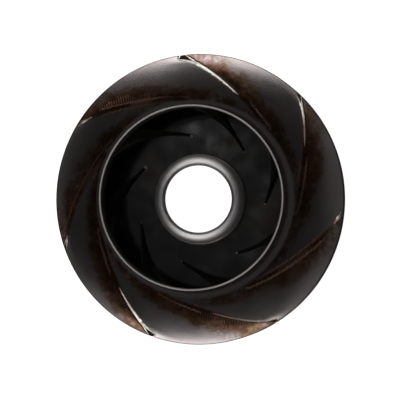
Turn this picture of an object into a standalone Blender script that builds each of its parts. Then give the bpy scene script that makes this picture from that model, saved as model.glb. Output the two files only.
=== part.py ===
"""Closed centrifugal pump impeller, pressed and welded from stainless steel sheet.

It lies on the rear face of its hub with the inlet eye up. Sizes are in metres, +Z is the shaft
axis towards the inlet, and the origin is on that axis in the plane of the hub's rear face.
"""

import math

import bmesh
import bpy
import numpy as np
from mathutils import Vector

# Driving dimensions: the outside, the sheets and the gap that touching pieces keep
OUTER_RADIUS = 0.0725
EXIT_WIDTH = 0.0100
EYE_DEPTH = 0.0354
SHEET = 0.0012
VANE_SHEET = 0.0012
VANE_COUNT = 7
SEAT_GAP = 0.0003

# Heights above the hub's rear face
PLATE_REAR = 0.0015
PLATE_FRONT = PLATE_REAR + SHEET
RIM_TOP = PLATE_REAR + EXIT_WIDTH
EYE_TOP = PLATE_REAR + EYE_DEPTH

# Front shroud: a straight neck, a hollow fillet and a flank that flattens towards the rim
NECK_RADIUS = 0.04545
NECK_LENGTH = 0.0094
NECK_FILLET = 0.0090
SHOULDER_SLOPE = math.radians(27.0)
LIP_CHAMFER = 0.0003

# Hub: a turned bush with a rounded shoulder, its tapered bore chamfered at the front
BORE_FRONT_RADIUS = 0.01665
BORE_REAR_RADIUS = 0.0190
BORE_CHAMFER = 0.0013
HUB_TOP = 0.0125
HUB_RADIUS = 0.0224
HUB_SHOULDER = 0.0038

# Vanes: where they start in the eye, how far they wrap round, and where they end at the rim
VANE_OUTER_RADIUS = 0.0717
BACK_LEAD_RADIUS = 0.0325
FRONT_LEAD_RADIUS = 0.0500
BACK_WRAP = math.radians(101.0)
FRONT_WRAP = math.radians(66.0)
FIRST_VANE_ANGLE = math.radians(96.5)

# Welds
SEAM_WIDTH = 0.0018
SEAM_HEIGHT = 0.0004
SEAM_START = 0.005
SEAM_TIP_FULLNESS = 0.5
FRONT_SEAM_END = 0.90
BACK_SEAM_END = 0.97
RING_LEG = 0.0009

# How finely round shapes are cut
SHROUD_SEGMENTS = 112
HUB_SEGMENTS = 64
FILLET_STEPS = 8
FLANK_STEPS = 7
VANE_STEPS = 20
VANE_ROWS = 3
SEAM_STEPS = 18
BEAD_STEPS = 4
TANGENT_STEP = 0.002
SHARP_ANGLE = math.radians(35.0)


def clear_scene():
    """Take away whatever objects the file opened with."""
    for old in list(bpy.data.objects):
        bpy.data.objects.remove(old, do_unlink=True)


def steel(name, colour, roughness):
    """A polished steel finish."""
    material = bpy.data.materials.new(name)
    material.use_nodes = True
    shader = material.node_tree.nodes["Principled BSDF"]
    shader.inputs["Base Color"].default_value = (*colour, 1.0)
    shader.inputs["Metallic"].default_value = 1.0
    shader.inputs["Roughness"].default_value = roughness
    return material


def finished_mesh(name, shape, material):
    """Turn a bmesh into a mesh with outward faces, smooth shading and its finish."""
    bmesh.ops.recalc_face_normals(shape, faces=shape.faces)
    mesh = bpy.data.meshes.new(name)
    shape.to_mesh(mesh)
    shape.free()
    mesh.shade_smooth()
    mesh.set_sharp_from_angle(angle=SHARP_ANGLE)
    mesh.materials.append(material)
    return mesh


def placed(name, mesh, parent, turn=0.0):
    """One named piece of the impeller, turned about the shaft axis."""
    piece = bpy.data.objects.new(name, mesh)
    piece.rotation_euler = (0.0, 0.0, turn)
    piece.parent = parent
    bpy.context.collection.objects.link(piece)
    return piece


def turned(name, outline, segments, material):
    """A ring whose section is the closed outline of (radius, height) points."""
    shape = bmesh.new()
    corners = [shape.verts.new((radius, 0.0, height)) for radius, height in outline]
    sides = [shape.edges.new(pair) for pair in zip(corners, corners[1:] + corners[:1])]
    bmesh.ops.spin(
        shape,
        geom=corners + sides,
        cent=(0.0, 0.0, 0.0),
        axis=(0.0, 0.0, 1.0),
        angle=math.tau,
        steps=segments,
        use_merge=True,
    )
    return finished_mesh(name, shape, material)


def swept(name, sections, material):
    """A bar that runs through the given sections, each a list of the same number of points."""
    shape = bmesh.new()
    corners = [shape.verts.new(point) for point in sections[0]]
    edges = [shape.edges.new(pair) for pair in zip(corners, corners[1:] + corners[:1])]
    ends = list(edges)
    for section in sections[1:]:
        grown = bmesh.ops.extrude_edge_only(shape, edges=edges)["geom"]
        edges = [part for part in grown if isinstance(part, bmesh.types.BMEdge)]
        free = [part for part in grown if isinstance(part, bmesh.types.BMVert)]
        corners = [min(free, key=lambda vert: (vert.co - old.co).length) for old in corners]
        for corner, point in zip(corners, section):
            corner.co = point
    bmesh.ops.holes_fill(shape, edges=ends + edges, sides=len(corners))
    return finished_mesh(name, shape, material)


def arc_points(centre, radius, first_slope, last_slope, steps):
    """Points of a round from one slope to another, the first left out: hollow, or full if radius < 0."""
    points = []
    for step in range(1, steps + 1):
        slope = first_slope + (last_slope - first_slope) * step / steps
        points.append((centre[0] - radius * math.sin(slope), centre[1] - radius * math.cos(slope)))
    return points


def front_shroud_line(depth):
    """The front shroud's section from eye to rim, at a depth below its outside."""
    upright = math.pi / 2
    neck_foot = EYE_TOP - NECK_LENGTH
    fillet_centre = (NECK_RADIUS + NECK_FILLET, neck_foot)
    shoulder = arc_points(fillet_centre, NECK_FILLET, upright, SHOULDER_SLOPE, 1)[-1]
    reach = OUTER_RADIUS - shoulder[0]
    chord_slope = math.atan2(shoulder[1] - RIM_TOP, reach)
    rim_slope = 2 * chord_slope - SHOULDER_SLOPE
    flank = reach / (math.sin(SHOULDER_SLOPE) - math.sin(rim_slope))
    flank_centre = (
        shoulder[0] + flank * math.sin(SHOULDER_SLOPE),
        shoulder[1] + flank * math.cos(SHOULDER_SLOPE),
    )
    line = [(NECK_RADIUS - depth, EYE_TOP), (NECK_RADIUS - depth, neck_foot)]
    line += arc_points(fillet_centre, NECK_FILLET + depth, upright, SHOULDER_SLOPE, FILLET_STEPS)
    line += arc_points(flank_centre, flank + depth, SHOULDER_SLOPE, rim_slope, FLANK_STEPS)
    last_radius, last_height = line[-1]
    line[-1] = (OUTER_RADIUS, last_height - (OUTER_RADIUS - last_radius) * math.tan(rim_slope))
    return line


def height_on(line, radius):
    """The height of a section line at a radius outside its neck."""
    radii, heights = zip(*line)
    return float(np.interp(radius, radii[1:], heights[1:]))


def front_shroud(material):
    """Pressed cone with its drawn neck, the eye's edge slightly broken."""
    outside = front_shroud_line(0.0)
    inside = front_shroud_line(SHEET)
    outside[0] = (NECK_RADIUS, EYE_TOP - LIP_CHAMFER)
    inside[0] = (NECK_RADIUS - SHEET, EYE_TOP - LIP_CHAMFER)
    lip = [(NECK_RADIUS - SHEET + LIP_CHAMFER, EYE_TOP), (NECK_RADIUS - LIP_CHAMFER, EYE_TOP)]
    return turned("front_shroud", outside + inside[::-1] + lip, SHROUD_SEGMENTS, material)


def back_shroud(material):
    """Flat disc with a round hole for the hub."""
    hole = HUB_RADIUS + SEAT_GAP
    outline = [
        (hole, PLATE_REAR),
        (OUTER_RADIUS, PLATE_REAR),
        (OUTER_RADIUS, PLATE_FRONT),
        (hole, PLATE_FRONT),
    ]
    return turned("back_shroud", outline, SHROUD_SEGMENTS, material)


def hub_collar(material):
    """Turned bush: tapered bore, chamfered mouth, narrow front face and rounded shoulder."""
    shoulder_centre = (HUB_RADIUS - HUB_SHOULDER, HUB_TOP - HUB_SHOULDER)
    outline = [
        (BORE_REAR_RADIUS, 0.0),
        (BORE_FRONT_RADIUS, HUB_TOP - BORE_CHAMFER),
        (BORE_FRONT_RADIUS + BORE_CHAMFER, HUB_TOP),
        (shoulder_centre[0], HUB_TOP),
    ]
    outline += arc_points(shoulder_centre, -HUB_SHOULDER, 0.0, math.pi / 2, FILLET_STEPS)
    outline.append((HUB_RADIUS, 0.0))
    return turned("hub_collar", outline, HUB_SEGMENTS, material)


def weld_ring(name, corner_height, rise, material):
    """A three-cornered bead between the hub and a face of the back shroud."""
    inner = HUB_RADIUS + SEAT_GAP
    outline = [(inner, corner_height), (inner + abs(rise), corner_height)]
    outline.append((inner, corner_height + rise))
    return turned(name, outline, HUB_SEGMENTS, material)


def polar(radius, angle, height):
    """A point from its radius, its angle about the shaft axis and its height."""
    return Vector((radius * math.cos(angle), radius * math.sin(angle), height))


def back_edge(share, height=0.0):
    """A vane's line on the back shroud, from the rim (0) to the eye (1): an even spiral."""
    radius = VANE_OUTER_RADIUS * (BACK_LEAD_RADIUS / VANE_OUTER_RADIUS) ** share
    return polar(radius, FIRST_VANE_ANGLE - BACK_WRAP * share, height)


def front_edge(share, line, drop=0.0):
    """A vane's line under a section line of the front shroud, running out along the neck."""
    radius = FRONT_LEAD_RADIUS + (VANE_OUTER_RADIUS - FRONT_LEAD_RADIUS) * (1.0 - share) ** 2
    return polar(radius, FIRST_VANE_ANGLE - FRONT_WRAP * share, height_on(line, radius) - drop)


def across(edge, share):
    """The level direction that crosses an edge at one place."""
    ahead = edge(share + TANGENT_STEP) - edge(share - TANGENT_STEP)
    return Vector((-ahead.y, ahead.x, 0.0)).normalized()


def vane(material):
    """Curved blade between the shrouds, its leading edge raked back from the eye."""
    ceiling = front_shroud_line(SHEET)
    drop = SEAT_GAP / math.cos(SHOULDER_SLOPE)
    floor_height = PLATE_FRONT + SEAT_GAP
    half = VANE_SHEET / 2
    sections = []
    for step in range(VANE_STEPS + 1):
        share = step / VANE_STEPS
        low = back_edge(share, floor_height)
        low_side = across(back_edge, share) * half
        high = front_edge(share, ceiling)
        high_side = across(lambda at: front_edge(min(at, 1.0), ceiling), share) * half
        top_left, top_right = high + high_side, high - high_side
        for corner in (top_left, top_right):
            corner.z = height_on(ceiling, math.hypot(corner.x, corner.y)) - drop
        rising = [low + low_side, top_left]
        falling = [top_right, low - low_side]
        sections.append(spread(*rising) + spread(*falling))
    return swept("vane", sections, material)


def spread(start, end):
    """Even points from one end of a straight edge to the other."""
    return [start.lerp(end, step / VANE_ROWS) for step in range(VANE_ROWS + 1)]


def bead_sections(path, normal, first, last):
    """Half-round sections of a weld bead along a path, drawn in at both ends."""
    sections = []
    for step in range(SEAM_STEPS + 1):
        share = first + (last - first) * step / SEAM_STEPS
        fullness = SEAM_TIP_FULLNESS if step in (0, SEAM_STEPS) else 1.0
        ahead = path(share + TANGENT_STEP) - path(share - TANGENT_STEP)
        up = normal(share)
        side = ahead.cross(up).normalized() * SEAM_WIDTH / 2 * fullness
        base = path(share) + up * SEAT_GAP
        section = []
        for point in range(BEAD_STEPS + 1):
            turn = math.pi * point / BEAD_STEPS
            rise = up * SEAM_HEIGHT * fullness * math.sin(turn)
            section.append(base + side * math.cos(turn) + rise)
        sections.append(section)
    return sections


def front_seam(material):
    """Weld seam on the front shroud over a vane's edge."""
    line = front_shroud_line(0.0)

    def path(share):
        return front_edge(max(share, 0.0), line)

    def normal(share):
        point = path(share)
        radius = math.hypot(point.x, point.y)
        fall = height_on(line, radius - SEAM_WIDTH / 2) - height_on(line, radius + SEAM_WIDTH / 2)
        return Vector((fall * point.x / radius, fall * point.y / radius, SEAM_WIDTH)).normalized()

    return swept("front_seam", bead_sections(path, normal, SEAM_START, FRONT_SEAM_END), material)


def back_seam(material):
    """Weld seam behind the back shroud over a vane's edge."""

    def path(share):
        return back_edge(max(share, 0.0), PLATE_REAR)

    def normal(share):
        return Vector((0.0, 0.0, -1.0))

    return swept("back_seam", bead_sections(path, normal, SEAM_START, BACK_SEAM_END), material)


def main():
    """Build every piece round the shaft axis."""
    clear_scene()
    axis = bpy.data.objects.new("shaft_axis", None)
    bpy.context.collection.objects.link(axis)

    shroud_steel = steel("shroud_steel", (0.21, 0.20, 0.19), 0.22)
    plate_steel = steel("plate_steel", (0.22, 0.21, 0.20), 0.25)
    vane_steel = steel("vane_steel", (0.19, 0.18, 0.17), 0.30)
    hub_steel = steel("hub_steel", (0.42, 0.41, 0.40), 0.18)
    seam_steel = steel("seam_steel", (0.34, 0.24, 0.17), 0.28)

    placed("front_shroud", front_shroud(shroud_steel), axis)
    placed("back_shroud", back_shroud(plate_steel), axis)
    placed("hub_collar", hub_collar(hub_steel), axis)
    for name, height, rise in (
        ("hub_weld_front", PLATE_FRONT + SEAT_GAP, RING_LEG),
        ("hub_weld_rear", PLATE_REAR - SEAT_GAP, -RING_LEG),
    ):
        placed(name, weld_ring(name, height, rise, seam_steel), axis)

    repeated = {
        "vane": vane(vane_steel),
        "front_seam": front_seam(seam_steel),
        "back_seam": back_seam(seam_steel),
    }
    for number in range(VANE_COUNT):
        turn = -math.tau * number / VANE_COUNT
        for name, mesh in repeated.items():
            placed(f"{name}_{number + 1}", mesh, axis, turn)


main()
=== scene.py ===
"""Looks of a closed centrifugal pump impeller, pressed and welded from stainless steel sheet.

It lies on the rear face of its hub on a pale floor, with the inlet eye up. Sizes are in metres,
+Z is the shaft axis towards the inlet, and the solids that it dresses keep their places.
"""

import math

import bmesh
import bpy
import numpy as np
from bpy.props import FloatProperty, FloatVectorProperty, PointerProperty
from mathutils import Matrix, Vector, noise


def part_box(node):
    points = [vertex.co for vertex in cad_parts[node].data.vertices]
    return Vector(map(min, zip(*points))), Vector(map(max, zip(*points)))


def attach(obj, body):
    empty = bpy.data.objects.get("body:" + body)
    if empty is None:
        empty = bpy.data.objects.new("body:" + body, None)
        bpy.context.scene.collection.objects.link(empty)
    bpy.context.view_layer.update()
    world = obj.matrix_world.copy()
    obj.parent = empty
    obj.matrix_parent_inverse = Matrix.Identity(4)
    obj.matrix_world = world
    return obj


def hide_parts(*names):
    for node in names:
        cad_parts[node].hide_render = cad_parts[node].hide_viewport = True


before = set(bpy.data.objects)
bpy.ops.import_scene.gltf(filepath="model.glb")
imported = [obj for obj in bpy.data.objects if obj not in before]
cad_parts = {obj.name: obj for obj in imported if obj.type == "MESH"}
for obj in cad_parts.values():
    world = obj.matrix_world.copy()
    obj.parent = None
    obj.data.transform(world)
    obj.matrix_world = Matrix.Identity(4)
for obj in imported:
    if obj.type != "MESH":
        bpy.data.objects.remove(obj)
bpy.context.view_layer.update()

bl_info = {
    "name": "Pump impeller looks",
    "version": (1, 0, 0),
    "blender": (4, 5, 0),
    "location": "3D View > Sidebar > Impeller",
    "description": "Dresses the solids of a closed pump impeller as polished and welded steel sheet",
    "category": "Object",
}

BODY = "root"
SHROUD_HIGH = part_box("front_shroud")[1]
PLATE_LOW, PLATE_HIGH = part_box("back_shroud")
HUB_LOW, HUB_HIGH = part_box("hub_collar")
RING_LOW, RING_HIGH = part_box("hub_weld_front")
VANE_COUNT = len([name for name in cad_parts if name.startswith("vane_")])

# How finely the shapes are cut, how far apart a line's direction is taken, and past which angle an
# edge is sharp
SHEET_SEGMENTS = 640
HUB_SEGMENTS = 192
NECK_STEPS = 6
FILLET_STEPS = 24
FLANK_STEPS = 54
INSIDE_STRIDE = 3
PLATE_STEPS = 44
EDGE_STEPS = 3
VANE_STEPS = 56
VANE_ROWS = 12
SEAM_STEPS = 300
SEAM_ROWS = 44
BACK_SEAM_ROWS = 8
SEAM_SAMPLES = 120
WOBBLE_STEPS = 400
TANGENT_STEP = 0.002
SHARP_ANGLE = math.radians(40.0)

# The floor lies this far under the hub, so that their faces don't flicker, and reaches this far
# each way from the shaft axis
FLOOR_GAP = 0.0001
FLOOR_REACH = 4.0

# Soft lights overhead: where they hang, how wide and deep they are, and their radiance
LIGHTS = {
    "upper_light": (-0.16, 0.475, 0.61, 0.64, 2.1),
    "lower_light": (-0.17, -0.41, 0.60, 0.47, 2.7),
    "right_glow": (0.50, 0.00, 0.30, 0.60, 0.06),
    "upper_right_glow": (0.40, 0.30, 0.25, 0.35, 0.10),
    "lower_right_glow": (0.30, -0.34, 0.30, 0.25, 0.12),
    "left_glow": (-0.80, 0.00, 0.30, 0.70, 0.06),
    "lower_left_glow": (-0.62, -0.44, 0.30, 0.30, 0.12),
}

# How high above the horizon, from 0 to 1, the room is at its dimmest
HORIZON_TOP = 0.6

# Where the finishes of a sheet stand in its list, after its main one
EDGE_SLOT = 1
INSIDE_SLOT = 2

# A face of the front sheet is a cut edge this close to its ends, and its inside where it looks in
# or down by more than these shares
EDGE_DEPTH = 0.0001
LOOKS_IN = 0.7
LOOKS_DOWN = 0.1

# Height of the vanes' leading edges under the front shroud, and their round as a share of the line
LEAD_TOP = 0.0215
LEAD_ROUND = 0.012

# Below, a place along a vane's line or a seam is its share of the way from the rim (0) to the eye
# (1), and a pair says where a rise or a fall starts and where it is done

# A slot's cutter is this many times as long and as wide as the slot, so that it runs past the rim,
# and this many sheets deep. A closed slot has this share of the longest one's length.
SLOT_OVERRUN = 1.3
SLOT_DEPTH = 4.0
SHORTEST_SLOT = 0.4

# Where the seams swing in towards the eye, and where the dip along them ends
PULL_RISE = (0.0, 0.4)
DIP_END = (0.7, 1.0)

# Where the welds' heat rises and falls along the seams, in front and behind, and its least at the rim
HEAT_ALONG = ((0.04, 0.2), (0.8, 0.98))
REAR_HEAT_ALONG = ((0.0, 0.1), (0.9, 1.0))
RIM_HEAT = 0.5

# Fine chatter of the polishing wheel beside the welds: how far its wave runs on, in radians, for
# each radian round the shaft and for each metre out from it, where it rises and falls along a seam,
# and where it does across from the seam, in metres
CHATTER_TURN = 280.0
CHATTER_REACH = 2000.0
CHATTER_ALONG = ((0.08, 0.16), (0.3, 0.45))
CHATTER_ACROSS = ((-0.0070, -0.0025), (-0.0014, -0.0009))

# Where the front seams start, and how often their width and the offset of their lines waver
SEAM_START = -0.012
WIDTH_WOBBLE = 55.0
OFFSET_WOBBLE = 71.5

# The streak is the flatted outer end of a front seam. Shares of its length: where it starts to
# close and where its fading is done. Shares of its width: its tip. Its arms meet in a groove.
STREAK_CLOSING = 0.8
STREAK_FADED = 0.6
STREAK_TIP = 0.35
GROOVE_LENGTH = 0.05
GROOVE_SHADE = 0.6

# The burnt metal round the streak, which also paints the shadow line beside it, and how far it reaches
# past the streak's end
STREAK_BURN_AND_SHADOW = 0.5
BURN_REACH = 0.06

# The fine double line of a front seam: where it rises after the streak, where it falls along the
# seam, the stretch in which it closes there, the edge (in line offsets) and the height of the low
# band under it, and its shine
LINE_START = (0.02, 0.14)
LINE_END = (0.96, 1.0)
LINE_CLOSING = 0.05
BAND_EDGE = (0.6, 1.3)
BAND_HEIGHT = 0.3
LINE_SHINE = 0.06

# Ripples of the weld metal: their number along a whole vane in front and behind, their bow, and
# their share of the fine lines' height, of a back seam's height and of a weld ring's width
SEAM_RIPPLES = 80
BACK_RIPPLES = 90
RIPPLE_BOW = 1.5
LINE_RIPPLE = 0.2
BACK_RIPPLE = 0.1
RING_RIPPLE = 0.05

# How bright and how burnt the seams behind the back shroud are
BACK_POLISH = 0.3
BACK_BURN = 0.3

# The seven seams are welded by hand, so each differs, from the first at the top and on clockwise
SEAM_POLISH = (1.0, 0.9, 0.9, 0.8, 0.95, 0.85, 0.75)  # how brightly its streak was polished
STREAK_END = (0.46, 0.31, 0.065, 0.38, 0.36, 0.07, 0.09)  # how far its streak goes
STREAK_FADE = (0.3, 0.85, 0.5, 0.5, 0.5, 0.5, 0.6)  # how much of the polish its streak loses
STREAK_SIZE = (1.0, 0.75, 0.75, 0.5, 0.85, 0.7, 0.6)  # how wide its streak is
SLOT_OPENING = (1.0, 0.5, 0.2, 0.5, 0.8, 0.3, 0.25)  # how far its slot stays open at the rim
TACK_SIZE = (0.9, 0.9, 0.6, 0.5, 1.4, 1.2, 0.6)  # how big the tack at its vane's foot is
SEAM_PULL = (0.0014, 0.0015, 0.0007, 0.0014, 0.0002, 0.0002, 0.0017)  # how far it swings in
SEAM_HEAT = (1.0, 1.0, 0.75, 1.15, 1.15, 0.75, 1.15)  # how hot the sheet beside it got
LINE_STRENGTH = (1.0, 1.0, 1.0, 0.6, 0.65, 0.5, 0.5)  # how well its fine double line shows

# Cloudy patterns of the finishes: cells in a metre (or 1 where the place comes scaled), detail and
# roughness of the noise, and in a mask the values where it starts and where it is full
PATTERNS = {
    "clouds": (110.0, 4.0, 0.6),
    "grit": (520.0, 5.0, 0.65),
    "hue": (130.0, 3.0, 0.6, 0.4, 0.6),
    "lines": (1.0, 5.0, 0.7),
    "smears": (45.0, 3.0, 0.6),
    "patches": (160.0, 2.0, 0.5, 0.4, 0.6),
    "stains": (38.0, 5.0, 0.6, 0.45, 0.75),
    "wipes": (1.0, 4.0, 0.6),
    "dull places": (60.0, 4.0, 0.6, 0.35, 0.75),
    "skin": (400.0, 3.0, 0.6, 0.4, 0.7),
    "speckles": (1500.0, 3.0, 0.6),
    "blotches": (300.0, 3.0, 0.6),
}

# Tool lines round the shaft axis: lines in a metre, how unevenly they shine, how deep the finish's
# bump is in metres, and how much of it is theirs
TOOL_LINES = {
    "polished_sheet": (9000.0, 0.12, 0.00008, 0.04),
    "cut_edge": (14000.0, 0.3, 0.00003, 1.0),
    "smooth_sheet": (7000.0, 0.15, 0.00004, 0.05),
    "inside_sheet": (5000.0, 0.2, 0.00004, 0.1),
    "turned_hub": (11000.0, 0.2, 0.00003, 1.0),
}

# How often a tool line changes on its way round the shaft, for each radian
BREAKS_PER_RADIAN = 2.0

# The light spreads across the tool lines, a quarter turn from the way they run
ACROSS_THE_LINES = 0.25

# Heat at which the mottling and each tint start and are full
MOTTLED = (0.0, 0.4)
LIGHT_TINT = (0.0, 0.5)
BROWN_TINT = (0.4, 0.75)
BURNT_TINT = (0.75, 1.15)

# What the chatter takes from the front sheet's tint and adds to its bump, and what heat roughens
CHATTER_TINT = 0.35
CHATTER_BUMP = 0.9
HEAT_ROUGHNESS = 0.08

# The back sheet was wiped round the shaft: marks per radian and per metre, what they roughen, and
# how much tint its stains have
WIPES_TURN = 5.0
WIPES_REACH = 90.0
WIPED_ROUGHNESS = 0.12
STAIN_HEAT = 0.3

# How much dark skin the dull places inside have, and how much the weld rings have at least
DULL_SKIN = 0.5
RING_SKIN = 0.5

# Uneven weld metal: its evenly bright part, what speckles and blotches change in its brightness,
# what speckles change in its burn, what speckles and burns add to its roughness, how much the
# blotches count in its bump, and how deep that bump is in metres
BEAD_EVEN = 1.15
BEAD_SPECKLE = 0.8
BEAD_BLOTCH = 1.6
BURN_SPECKLE = 0.6
ROUGH_SPECKLE = 0.2
ROUGH_BURN = 0.3
BUMP_BLOTCH = 0.5
WELD_BUMP = 0.00003


def length(label, words, default):
    """A property that holds a length in metres."""
    return FloatProperty(name=label, description=words, default=default, unit="LENGTH", precision=5)


def turn(label, words, degrees):
    """A property that holds an angle."""
    return FloatProperty(name=label, description=words, default=math.radians(degrees), unit="ROTATION")


def share(label, words, default):
    """A property that holds a share from 0 to 1."""
    return FloatProperty(name=label, description=words, default=default, min=0.0, max=1.0)


def colour(label, words, default):
    """A property that holds a linear colour."""
    return FloatVectorProperty(
        name=label, description=words, default=default, size=3, subtype="COLOR", min=0.0, max=1.0
    )


class ImpellerSheets(bpy.types.PropertyGroup):
    """Sizes of the two shrouds."""

    sheet: length("Sheet", "Thickness of the pressed sheet", PLATE_HIGH.z - PLATE_LOW.z)
    exit_width: length("Exit width", "From the rear of the back shroud to the front rim", 0.0100)
    neck_radius: length("Neck radius", "Outside radius of the neck round the eye", 0.04545)
    neck_length: length("Neck length", "Straight part of the neck", 0.0094)
    neck_fillet: length("Neck fillet", "Outside radius of the hollow under the neck", 0.0090)
    shoulder_slope: turn("Shoulder slope", "Slope of the flank where the hollow ends", 27.0)
    edge_round: length("Edge round", "Round on the cut edges", 0.00025)
    lip_round: length("Lip round", "Round on the outer edge of the eye", 0.0002)
    lip_break: length("Lip break", "Round on the inner edge of the eye", 0.0007)
    weld_draw: length("Weld draw", "How far the welds pull the sheet in", 0.00015)
    weld_draw_width: length("Weld draw width", "Half width of the dip along a weld", 0.0042)
    waviness: length("Waviness", "Unevenness of the pressed sheet", 0.00004)
    wave_scale: FloatProperty(name="Wave scale", description="Waves in a metre of sheet", default=55.0)


class ImpellerVanes(bpy.types.PropertyGroup):
    """Sizes of the vanes and of the welds along them."""

    sheet: length("Sheet", "Thickness of a vane", 0.0012)
    outer_radius: length("Outer radius", "Where the vanes end at the rim", 0.0717)
    back_lead_radius: length("Back lead radius", "Where the vanes start on the back shroud", 0.0325)
    front_lead_radius: length("Front lead radius", "Where the vanes start on the front shroud", 0.0500)
    back_wrap: turn("Back wrap", "Turn of a vane along the back shroud", 101.0)
    front_wrap: turn("Front wrap", "Turn of a vane along the front shroud", 66.0)
    first_angle: turn("First angle", "Where the first vane ends at the rim", 96.5)
    clearance: length("Clearance", "Gap that a vane keeps to the shrouds", 0.0003)
    tack_radius: length("Tack radius", "Size of the tack at a vane's inner foot", 0.0005)


class ImpellerWelds(bpy.types.PropertyGroup):
    """Sizes of the weld seams."""

    half_width: length("Half width", "Half width of a seam outside its slot", 0.0025)
    bead_height: length("Bead height", "Height of a seam's flatted bead", 0.00026)
    streak_width: length("Streak width", "Half width of the flatted bead where its arms meet", 0.00115)
    arm_width: length("Arm width", "Width of the bead's arms at the rim", 0.0007)
    facet: turn("Facet", "How much flatter than the sheet the bead was ground", 8.0)
    line_width: length("Line width", "Half width of the fine lines along a seam", 0.00045)
    line_height: length("Line height", "Height of the fine lines along a seam", 0.00011)
    line_offset: length("Line offset", "From a seam's middle to its fine lines", 0.0015)
    wobble: share("Wobble", "How unevenly the beads were laid and flatted", 0.5)
    ripple_pitch: length("Ripple pitch", "Distance between the ripples round the hub", 0.0009)
    tuck: length("Tuck", "How far a seam's edges lie under the sheet's surface", 0.00003)
    root: length("Root", "Thickness of the weld metal", 0.0004)
    front_end: share("Front end", "Where the front seams end along a vane", 0.84)
    back_end: share("Back end", "Where the back seams end along a vane", 0.97)
    back_height: length("Back height", "Height of the seams behind the back shroud", 0.0004)
    back_half_width: length("Back half width", "Half width of the seams behind the back shroud", 0.0009)
    slot_share: share("Slot share", "Length of the longest open slot along a vane", 0.062)
    slot_width: length("Slot width", "Width of the widest open slot at the rim", 0.0030)
    slot_sink: length("Slot sink", "Depth of the burnt metal in the slots", 0.0007)
    toe_tint: length("Toe tint", "Width of the heat tint on a seam's inner side", 0.0016)
    tint_reach: length("Tint reach", "Width of the heat tint on a seam's outer side", 0.016)
    rear_tint: length("Rear tint", "Half width of the heat tint behind the back shroud", 0.0045)


class ImpellerHub(bpy.types.PropertyGroup):
    """Sizes of the hub."""

    bore_front: length("Front bore radius", "Radius of the tapered bore behind its chamfer", 0.01665)
    bore_rear: length("Rear bore radius", "Radius of the tapered bore at the rear face", 0.0190)
    chamfer: length("Chamfer", "Chamfer at the bore's mouth", 0.0013)
    shoulder: length("Shoulder", "Round of the hub's outer shoulder", 0.0038)
    mouth_round: length("Mouth round", "Round between the chamfer and the front face", 0.0008)


class ImpellerFinish(bpy.types.PropertyGroup):
    """Colours and polish of the steel."""

    steel: colour("Steel", "Bare polished sheet", (0.5, 0.45, 0.44))
    straw: colour("Straw", "Light heat tint", (0.26, 0.17, 0.10))
    rose: colour("Rose", "Light heat tint where the sheet got hotter", (0.29, 0.175, 0.15))
    brown: colour("Brown", "Strong heat tint", (0.16, 0.082, 0.052))
    scorch: colour("Scorch", "Burnt metal in the weld", (0.07, 0.035, 0.025))
    weld: colour("Weld", "Weld metal away from the rim", (0.29, 0.155, 0.11))
    bead: colour("Bead", "Flatted weld metal", (0.95, 0.94, 0.86))
    cut_edge: colour("Cut edge", "Turned and cut edges", (0.5, 0.49, 0.48))
    hub: colour("Hub", "Turned hub", (0.86, 0.86, 0.86))
    # This colour is the dark skin of the weld rings, and it also paints shade behind the vanes' leading
    # edges
    oxide_and_shade: colour("Oxide", "Dark skin on the weld rings and beside the vanes", (0.012, 0.011, 0.01))
    vane: colour("Vane", "Dull skin on the sheet inside the impeller", (0.11, 0.105, 0.1))
    plate: colour("Plate", "Back sheet", (0.36, 0.355, 0.35))
    # Painted shade: how far the darkening behind a vane's leading edge reaches
    painted_shade_reach: length("Soot reach", "How far the dark skin reaches behind a vane's leading edge", 0.011)
    plate_roughness: share("Plate roughness", "Roughness of the back sheet", 0.09)
    vane_roughness: share("Vane roughness", "Roughness of the sheet inside the impeller", 0.6)
    vane_shine: share("Vane shine", "How strongly the sheet inside the impeller mirrors", 0.0)
    sheet_roughness: share("Sheet roughness", "Roughness of the polished sheet", 0.2)
    edge_roughness: share("Edge roughness", "Roughness of the cut edges and weld rings", 0.55)
    hub_roughness: share("Hub roughness", "Roughness of the turned hub", 0.38)
    hub_brushing: share("Hub brushing", "How strongly the hub's tool lines spread the light", 0.75)
    bead_roughness: share("Bead roughness", "Roughness of the weld metal", 0.3)


class ImpellerStage(bpy.types.PropertyGroup):
    """Camera, floor and lights."""

    distance: length("Camera distance", "From the camera to the impeller", 1.0)
    tilt: turn("Camera tilt", "Angle between the view and the shaft axis", 8.7)
    lean: turn("Camera lean", "Azimuth towards which the camera leans", -10.5)
    field: length("Field", "Width of the view at the impeller", 0.1994)
    aim_height: length("Aim height", "Height of the point in the middle of the view", 0.0115)
    aim_right: length("Aim right", "How far right of the shaft axis the view is centred", 0.00085)
    aim_drop: length("Aim drop", "How far below the shaft axis the view is centred", 0.0005)
    light_height: length("Light height", "Height of the soft lights", 1.0)
    floor: colour("Floor", "Plain pale floor", (0.9, 0.9, 0.9))
    floor_roughness: share("Floor roughness", "Roughness of the floor", 0.9)
    bounce: share("Bounce", "How much of the floor's light the steel mirrors", 0.14)
    glow: share("Glow", "Light that the floor gives by itself", 1.0)
    ceiling: share("Ceiling", "Light of the dim room overhead", 0.014)
    horizon: share("Horizon", "How much lighter the room is near the floor", 0.03)


GROUPS = {
    "impeller_sheets": ImpellerSheets,
    "impeller_vanes": ImpellerVanes,
    "impeller_welds": ImpellerWelds,
    "impeller_hub": ImpellerHub,
    "impeller_finish": ImpellerFinish,
    "impeller_stage": ImpellerStage,
}


# Sections of the sheets, as lists of (radius, height)

def arc(centre, radius, first, last, steps):
    """Points of a round from one slope to another, the first left out: hollow, or full if radius < 0."""
    points = []
    for step in range(1, steps + 1):
        slope = first + (last - first) * step / steps
        points.append((centre[0] - radius * math.sin(slope), centre[1] - radius * math.cos(slope)))
    return points


def between(start, end, steps):
    """Even points from one place to another, both ends left out."""
    return [
        tuple(a + (b - a) * step / steps for a, b in zip(start, end)) for step in range(1, steps)
    ]


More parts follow.
